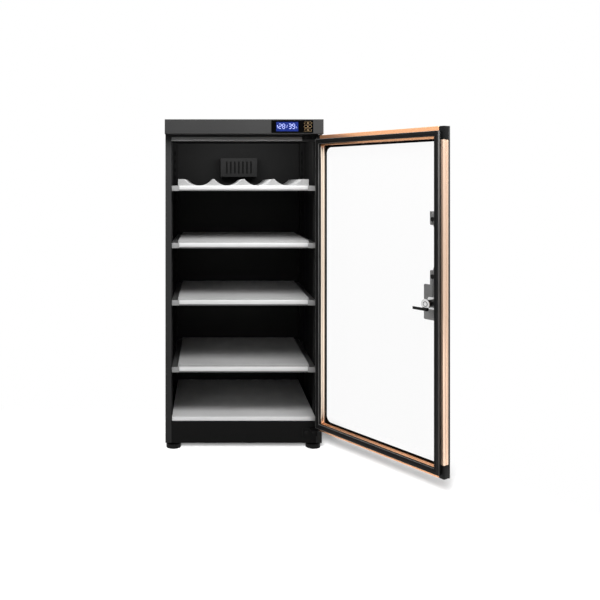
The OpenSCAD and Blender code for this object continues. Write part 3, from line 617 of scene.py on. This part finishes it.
bellows_layers = [(0.03, 0.97, 0, 0.28), (0.3, 0.7, 0.26, 0.42), (0.08, 0.92, 0.38, 0.5),
    (0.3, 0.7, 0.46, 0.68), (0.04, 0.98, 0.64, 0.88), (0.1, 0.6, 0.7, 1), (0.72, 0.92, 0.7, 1)]
edge_layers = [(0, 0.07, 0.68, 0.96), (0.02, 0.1, 0.36, 0.52), (0.92, 0.99, 0.66, 0.9)]
hand_over(gasket_rings(bellows_layers), "gasket_bellows", "door", gasket_rubber, "gasket", "door_gasket")
hand_over(gasket_rings(edge_layers), "gasket_edges", "door", fold_highlight_rubber, "gasket")

# %% [markdown]
# The glass has a black printed border that hides the frame behind it, with round inner corners. Print has
# no thickness worth showing, so the border is a thin ring on the inner face of the glass. A second ring
# closes the sheet's edge, which is dull and dark on cut glass. A mask could colour both on the glass itself,
# but a piece of its own keeps a sharp edge from near by.

# %% Printed border
print_width, top_print, print_corner = 25 * mm, 31 * mm, 15 * mm
edge_gap, proud, film, rim_start = 0.5 * mm, 0.04 * mm, 0.1 * mm, 0.2 * mm
border_edge = (door_half - edge_gap, door_low + edge_gap, door_high - edge_gap)
border = ring(border_edge, (door_half - print_width, door_low + print_width, door_high - top_print),
    (glass_inner - film, glass_inner + film), print_corner)
swing_open(border)
hand_over(border, "glass_border", "door", window_black, "panel")
rim = ring((door_half + proud, door_low - proud, door_high + proud), border_edge,
    (glass_outer + rim_start, glass_inner))
soften(rim, 0.15 * mm, segments=2)
swing_open(rim)
hand_over(rim, "glass_rim", "door", glass_edge, "glass")

# %% [markdown]
# The door frame is a drawn aluminium profile with two ridges and a valley along each bar, which catch the
# light as thin lines. A bump could draw them, but the bar's outline shows them too. So each bar is three
# rounded strips side by side, the middle one drawn in. Black plastic blocks close the frame's corners, with
# their outer edges rounded as a hand would meet them.

# %% Door frame
def ridged_bar(x, z, drawn):
    """Three strips side by side. Drawn is how far the middle one is set in, across and up."""
    depth = frame_face - glass_inner
    strips = []
    for start, end, inward in ((0, 0.42, 0), (0.38, 0.62, 1), (0.58, 1, 0)):
        in_x, in_z = (step * inward for step in drawn)
        strip = block((x[0] + in_x, glass_inner + start * depth, z[0] + in_z),
            (x[1] - in_x, glass_inner + end * depth, z[1] - in_z))
        soften(strip, 1.5 * mm)
        strips.append(strip)
    return join(strips)


corner_width, corner_height = 14 * mm, 29 * mm
bar_width, top_bar_width = 20 * mm, 26 * mm
valley, overlap = 0.9 * mm, 1 * mm
corner_x = door_half - corner_width
for side, name in ((1, "hinge"), (-1, "latch")):
    outer_x = sorted((side * corner_x, side * door_half))
    inner_x = sorted((side * (door_half - bar_width), side * (corner_x + overlap)))
    stile = join([
        ridged_bar(outer_x, (door_low + corner_height, door_high - corner_height), (valley, 0)),
        ridged_bar(inner_x, (door_low + bar_width, door_high - top_bar_width), (valley, 0))])
    swing_open(stile)
    finish = rose_painted_light if name == "hinge" else rose_upright
    hand_over(stile, f"stile_{name}", "door", finish, "rose_gold", f"door_stile_{name}")
    pair = []
    for z in ((door_low, door_low + corner_height), (door_high - corner_height, door_high)):
        piece = block((outer_x[0], glass_inner, z[0]), (outer_x[1], frame_face, z[1]))
        soften(piece, 1.6 * mm, segments=4)
        pair.append(piece)
    pair = join(pair)
    swing_open(pair)
    hand_over(pair, f"corners_{name}", "door", block_plastic, "block_black", f"corner_blocks_{name}")

level_bars = {"top": (door_high - top_bar_width, door_high), "bottom": (door_low, door_low + bar_width)}
for name, z in level_bars.items():
    rail = ridged_bar((-corner_x, corner_x), z, (0, valley))
    swing_open(rail)
    hand_over(rail, f"rail_{name}", "door", rose_level, "rose_gold", f"door_rail_{name}")

# %% [markdown]
# Each shelf has a silver rail along its front, drawn with a groove. A groove could be cut into one bar, but
# strips give each band its own rounded edges: an upper band stands in front of a set-back core, and the lip
# below the groove is a piece of its own in a darker grey metal: painted shade, because it lies in the shade
# of the band above. A grey plastic cap closes each end and reaches out in front of the slide channel, or the
# channel's open end would show as a black hole.

# %% Shelf rails
channel_low, channel_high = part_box("slide_channels_right")
widest, clearance = 184 * mm, 0.2 * mm
reach, channel_front = min(channel_high.x, widest), channel_low.y - clearance
cap_length, band, groove, cap_step, cap_lap = 5 * mm, 4 * mm, 0.8 * mm, 0.4 * mm, 2 * mm


def shelf_rail(number):
    low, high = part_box(f"front_rail_{number}")
    left, right = low.x + cap_length, high.x - cap_length
    rail = join([
        block((left, low.y + groove, low.z + band - groove), (right, high.y, high.z - groove)),
        block((left, low.y, low.z + band + groove), (right, high.y, high.z))])
    soften(rail, 0.7 * mm)
    hand_over(rail, f"rail_front_{number}", f"shelf_{number}", rail_silver, "rail_silver",
        f"front_rail_{number}")
    lip = block((left, low.y + 1 * mm, low.z), (right, high.y - 0.5 * mm, low.z + band))
    soften(lip, 0.7 * mm)
    hand_over(lip, f"rail_lip_{number}", f"shelf_{number}", rail_shade, "rail_silver")
    caps = join([block((low.x, low.y, low.z), (left, high.y, high.z)),
        block((right, low.y, low.z), (high.x, high.y, high.z))])
    soften(caps, 1.2 * mm)
    ends_low, ends_high = low.z + cap_step, high.z - cap_step
    ends = join([block((-reach, low.y, ends_low), (low.x + cap_lap, channel_front, ends_high)),
        block((high.x - cap_lap, low.y, ends_low), (reach, channel_front, ends_high))])
    soften(ends, 0.25 * mm)
    hand_over(join([caps, ends]), f"rail_caps_{number}", f"shelf_{number}", rail_cap, "rail_silver")


for number in (1, 2, 3, 4):
    shelf_rail(number)

# %% [markdown]
# The display shows two pairs of figures, each figure of up to seven bars. A font could write them, but a
# display has no letters, only bars. A figure is the list of its lit bars, and a bar is a thin block on the
# glass of the display, so the numbers are clear from any side.

# %% Display figures
bars = {"2": "abged", "8": "abcdefg", "3": "abgcd", "9": "abcdfg"}
# In mm from the display's left edge
figure_places = (9, 18, 34, 43)
figure_width, figure_height, figure_drop, stroke = 6 * mm, 11.5 * mm, 5 * mm, 1.5 * mm
# Small bars as (across, up, width, height) in mm: a slanting divider, two unit marks and two level marks
small_bars = ((28.6, 0, 1, 4), (29.6, 4, 1, 4), (51.5, 0, 3.5, 1), (51.5, 3, 2.5, 1),
    (4.4, 0, 2.6, 1), (4.4, 3, 2, 4))
small_drop = 3.5
lcd_low, lcd_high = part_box("lcd_module")
lcd_middle = (lcd_low.z + lcd_high.z) / 2


def lit_bar(x, z, width, height):
    return block((x, lcd_low.y - 0.15 * mm, z), (x + width, lcd_low.y + 0.1 * mm, z + height))


def figure(character, left, low):
    half = figure_height / 2
    spots = {"a": (0, figure_height, 1), "g": (0, half, 1), "d": (0, 0, 1),
        "f": (0, half, 0), "b": (figure_width, half, 0), "e": (0, 0, 0), "c": (figure_width, 0, 0)}
    parts = []
    for name in bars[character]:
        across, up, level = spots[name]
        size = (figure_width - stroke, stroke) if level else (stroke, half - stroke)
        x = left + across + (stroke / 2 if level else -stroke / 2)
        z = low + up + (-stroke / 2 if level else stroke / 2)
        parts.append(lit_bar(x, z, *size))
    return parts


parts = []
for place, character in zip(figure_places, "2839"):
    parts += figure(character, lcd_low.x + place * mm, lcd_middle - figure_drop)
for x, z, width, height in small_bars:
    parts.append(lit_bar(lcd_low.x + x * mm, lcd_middle + (z - small_drop) * mm, width * mm, height * mm))
figures = join(parts)
soften(figures, 0.08 * mm, segments=1)
hand_over(figures, "display_figures", "root", display_pale, "display")

# %% [markdown]
# Gold outlines are printed round the three buttons. A curve with a bevel could draw one, but its end arcs
# would need handles. A circle is quicker: it is pulled apart into a bar with round ends, inset, and the
# middle taken out, which leaves a thin loop that is given a little height.

# %% Button outlines
def loop(middle, width, height, line, depth):
    clear_selection()
    bpy.ops.mesh.primitive_circle_add(vertices=24, radius=height / 2, fill_type="NGON", location=middle,
        rotation=(math.pi / 2, 0, 0))
    piece = bpy.context.active_object
    apply_place(piece)
    for point in piece.data.vertices:
        point.co.x += math.copysign((width - height) / 2, point.co.x - middle[0])
    edit(piece, everything,
        lambda: bpy.ops.mesh.inset(thickness=line),
        lambda: bpy.ops.mesh.delete(type="FACE"),
        lambda: bpy.ops.mesh.select_all(action="SELECT"),
        lambda: bpy.ops.mesh.extrude_region_move(TRANSFORM_OT_translate={"value": (0, depth, 0)}),
        lambda: bpy.ops.mesh.select_all(action="SELECT"),
        lambda: bpy.ops.mesh.normals_make_consistent(inside=False))
    return piece


outline_width, outline_height, line_width, line_depth = 19.6 * mm, 6.2 * mm, 0.38 * mm, 0.2 * mm
mark_low, mark_high = Vector((-1.3, 0, -0.9)) * mm, Vector((1.3, 0.15, 0.9)) * mm
for name in ("up", "set", "down"):
    low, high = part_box(f"button_{name}")
    centre = ((low.x + high.x) / 2, low.y - 0.05 * mm, (low.z + high.z) / 2)
    outline = loop(centre, outline_width, outline_height, line_width, line_depth)
    hand_over(outline, f"outline_{name}", f"button_{name}_key", gold_print_glow, "button")
    mark = block(Vector(centre) + mark_low, Vector(centre) + mark_high)
    soften(mark, 0.05 * mm, segments=1)
    hand_over(mark, f"mark_{name}", f"button_{name}_key", gold_print_glow, "button")

# %% [markdown]
# The cap on the lock's inner end has a turned groove. A loop as wide as it is high is a ring, and it lies on
# the cap's face. The face is found on the closed door, so the cap's points are swung back first.

# %% Groove of the lock's cap
unswing = swing.inverted()
low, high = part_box("cam_cap")
middle = unswing @ ((low + high) / 2)
cap = nodes["cam_cap"]
face = max((unswing @ cap.matrix_world @ point.co).y for point in cap.data.vertices)
groove_width, groove_line, groove_depth = 0.52 * (high.z - low.z), 1.1 * mm, 0.15 * mm
cap_groove = loop((middle.x, face - 0.05 * mm, middle.z), groove_width, groove_width, groove_line,
    groove_depth)
swing_open(cap_groove)
hand_over(cap_groove, "cap_groove", "lock", block_plastic, "block_black")

# %% [markdown]
# A silver strip closes the front edge of the floor mat, as the rails do on the shelves. It is a slim block
# with rounded edges, a little shorter and lower than the mat.

# %% Floor strip
low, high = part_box("floor_mat")
strip = block((low.x + 1 * mm, low.y - 0.1 * mm, low.z + 0.2 * mm),
    (high.x - 1 * mm, low.y + 1.4 * mm, high.z - 0.6 * mm))
soften(strip, 0.5 * mm)
hand_over(strip, "floor_strip", "root", rail_silver, "rail_silver")

# %% [markdown]
# The lower edge of the lintel is a folded hem. A slim bar with its edges rounded is laid along the sheet's
# edge, tall enough to cover the lintel's face. Its paint is far paler than the body's: painted light, for the
# lintel lies in the shade of the header, and a painted highlight for the bright line of the round hem over
# the dark inside. It ends before the leg of the upper hinge bracket, and it stands so little proud that the
# gasket clears it.

# %% Lintel hem
low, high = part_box("top_panel")
opening_half, lintel_height, bracket_room = 184.6 * mm, 15 * mm, 34 * mm
hem_height, hem_proud, hem_depth = 11 * mm, 0.12 * mm, 1.5 * mm
opening_top = high.z - lintel_height
hem = block((-opening_half, low.y - hem_proud, opening_top),
    (opening_half - bracket_room, low.y + hem_depth, opening_top + hem_height))
soften(hem, 0.8 * mm, segments=4)
hand_over(hem, "lintel_hem", "root", lintel_light_paint, "body_paint")

# %% [markdown]
# A felt filter lies behind the slots of the drying unit. It keeps dust from the desiccant, and its dark felt
# stands in for the shade behind the slots: it keeps the daylight behind the cabinet from showing through
# them.

# %% Filter felt
low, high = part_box("dryer_grille")
margin, felt_start, felt_end = 3 * mm, 1 * mm, 4 * mm
felt = block((low.x + margin, high.y + felt_start, low.z + margin),
    (high.x - margin, high.y + felt_end, high.z - margin))
edit(felt, everything, lambda: bpy.ops.mesh.subdivide(number_cuts=3))
soften(felt, 1 * mm, segments=2)
hand_over(felt, "filter_and_shade_felt", "root", filter_and_shade_felt, "desiccant")

# %% [markdown]
# The desiccant is a cloth bag of beads. It lies hidden in the drying unit, so a rounded block is enough.

# %% Desiccant bag
low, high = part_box("desiccant_pack")
bag = block(low, high)
edit(bag, everything, lambda: bpy.ops.mesh.subdivide(number_cuts=2))
soften(bag, 5 * mm, segments=4)
hand_over(bag, "desiccant_bag", "root", desiccant_cloth, "desiccant", "desiccant_pack")

# %% [markdown]
# The room is a white studio. The world looks white to the camera, to mirrors and through glass. A bright
# world would do that alone, but it would wash out the dark paint. So the light itself is softer than what is
# seen, and a switch on the kind of ray tells the two apart.

# %% Studio world
def ray(tree, kind):
    path = tree.nodes.new("ShaderNodeLightPath")
    return Number(tree, path.outputs[f"Is {kind} Ray"])


def seen(tree):
    """1 for what the camera, a mirror or a ray through glass sees, and 0 for the light itself."""
    return ray(tree, "Camera") + ray(tree, "Transmission") + ray(tree, "Glossy")


def mixed(tree, share, first, second):
    """The first shader where the share is 0, and the second where it is 1."""
    mix = tree.nodes.new("ShaderNodeMixShader")
    tree.links.new(share.socket, mix.inputs[0])
    tree.links.new(first.outputs[0], mix.inputs[1])
    tree.links.new(second.outputs[0], mix.inputs[2])
    return mix


def studio_world(light):
    world = bpy.data.worlds.new("studio")
    bpy.context.scene.world = world
    world.use_nodes = True
    tree = world.node_tree
    tree.nodes.clear()
    shades = []
    for strength in (light, 1):
        shade = tree.nodes.new("ShaderNodeBackground")
        shade.inputs["Color"].default_value = (1, 1, 1, 1)
        shade.inputs["Strength"].default_value = strength
        shades.append(shade)
    out = tree.nodes.new("ShaderNodeOutputWorld")
    tree.links.new(mixed(tree, seen(tree), *shades).outputs[0], out.inputs[0])
    print("World light", light)


studio_world(light=0.22)

# %% [markdown]
# The floor is white paper. Near the cabinet it shows its own lit surface, which takes the soft shadow. That
# fades into even white far away, and behind the line that the cabinet's front and the open door make. It
# throws little light back up, because the cabinet is darkest near the floor.

# %% Studio floor
def floor_finish(bounce, least_white, door_slope):
    finish = Finish("studio_floor", base_color=(*grey(253), 1), roughness=0.9)
    tree = finish.tree
    white, dim = (finish.node("ShaderNodeEmission", None, {"Color": (1, 1, 1, 1), "Strength": strength})
        for strength in (1, bounce))
    plain = mixed(tree, ray(tree, "Diffuse"), finish.shader, dim)
    away = finish.node("ShaderNodeVectorMath", {"operation": "LENGTH"}, {"Vector": finish.place})
    near, far_off, hinge_side, line_start, line_end = 0.6, 2.4, 0.2, -0.02, 0.2
    far = finish.ramp(away.outputs["Value"], near, far_off, least_white, 1, "SMOOTHSTEP")
    apart = finish.node("ShaderNodeSeparateXYZ", None, {"Vector": finish.place})
    x, y = Number(tree, apart.outputs["X"]), Number(tree, apart.outputs["Y"])
    past_hinge = x.math("MAXIMUM", x - hinge_side, 0.0)
    behind = finish.ramp(y + door_slope * past_hinge, line_start, line_end, 0, 1, "SMOOTHSTEP")
    whole = mixed(tree, seen(tree) * (far + behind), plain, white)
    tree.links.new(whole.outputs[0], tree.nodes["Material Output"].inputs["Surface"])
    return finish.material


def studio_floor(width):
    clear_selection()
    bpy.ops.mesh.primitive_plane_add(size=width, location=(0, 0, 0))
    floor = bpy.context.active_object
    floor.name = "floor"
    floor.data.materials.append(floor_finish(bounce=0.08, least_white=0.06, door_slope=1.39))
    return floor


floor = studio_floor(width=14)

# %% [markdown]
# Soft light comes from large lamps: one above the front makes the top brighter, and a weak one from the left
# fills the shadows. A strip under the lintel, out of sight, lights the upper wall and the pad.

# %% Lamps
def lamp(name, place, aim, size, power, turn=0.0):
    data = bpy.data.lights.new(name, "AREA")
    data.shape = "RECTANGLE"
    data.size, data.size_y = size
    data.energy = power
    piece = bpy.data.objects.new(name, data)
    bpy.context.scene.collection.objects.link(piece)
    piece.location = place
    facing = (Vector(aim) - Vector(place)).to_track_quat("-Z", "Y").to_matrix()
    piece.rotation_euler = (facing @ Matrix.Rotation(turn, 3, "Z")).to_euler()
    print("Lamp", name, "of", power, "W")
    return piece


overhead = lamp("overhead", place=(0.25, -0.75, 1.3), aim=(0.05, -0.1, 0.7), size=(1.1, 0.5), power=14)
front_left = lamp("front_left", place=(-1.2, -2.2, 1.4), aim=(0, 0, 0.6), size=(1.2, 1.0), power=2.5)
lamp("under_lintel", place=(0, -0.16, opening_top - 6 * mm), aim=(0, 0.12, opening_top - 90 * mm),
    size=(0.3, 0.02), power=0.5)

# %% [markdown]
# The floor needs more light than the cabinet does, so that it is white with a soft shadow on it. A lamp of
# its own is linked to the floor alone: it lights nothing else, and the cabinet still stands in its way. The
# two lamps of the cabinet leave the floor out, or they would fill that shadow. The floor's lamp stands low
# in front, and its long side is turned with the door, so the door's shadow lies along its lower edge.

# %% Floor lamp
floor_lamp = lamp("floor_lamp", place=(-0.4, -3.4, 1.65), aim=(0.2, -0.3, 0), size=(2.0, 0.6), power=335,
    turn=door_turn + math.pi)
lit_floor = bpy.data.collections.new("lit_floor")
lit_floor.objects.link(floor)
floor_lamp.light_linking.receiver_collection = lit_floor
unlit_floor = bpy.data.collections.new("unlit_floor")
unlit_floor.objects.link(floor)
unlit_floor.collection_objects[0].light_linking.link_state = "EXCLUDE"
for cabinet_lamp in (overhead, front_left):
    cabinet_lamp.light_linking.receiver_collection = unlit_floor
print("The floor is lit by its own lamp")

# %% [markdown]
# Standard keeps colours as they are written.

# %% Finish
bpy.context.scene.view_settings.view_transform = "Standard"
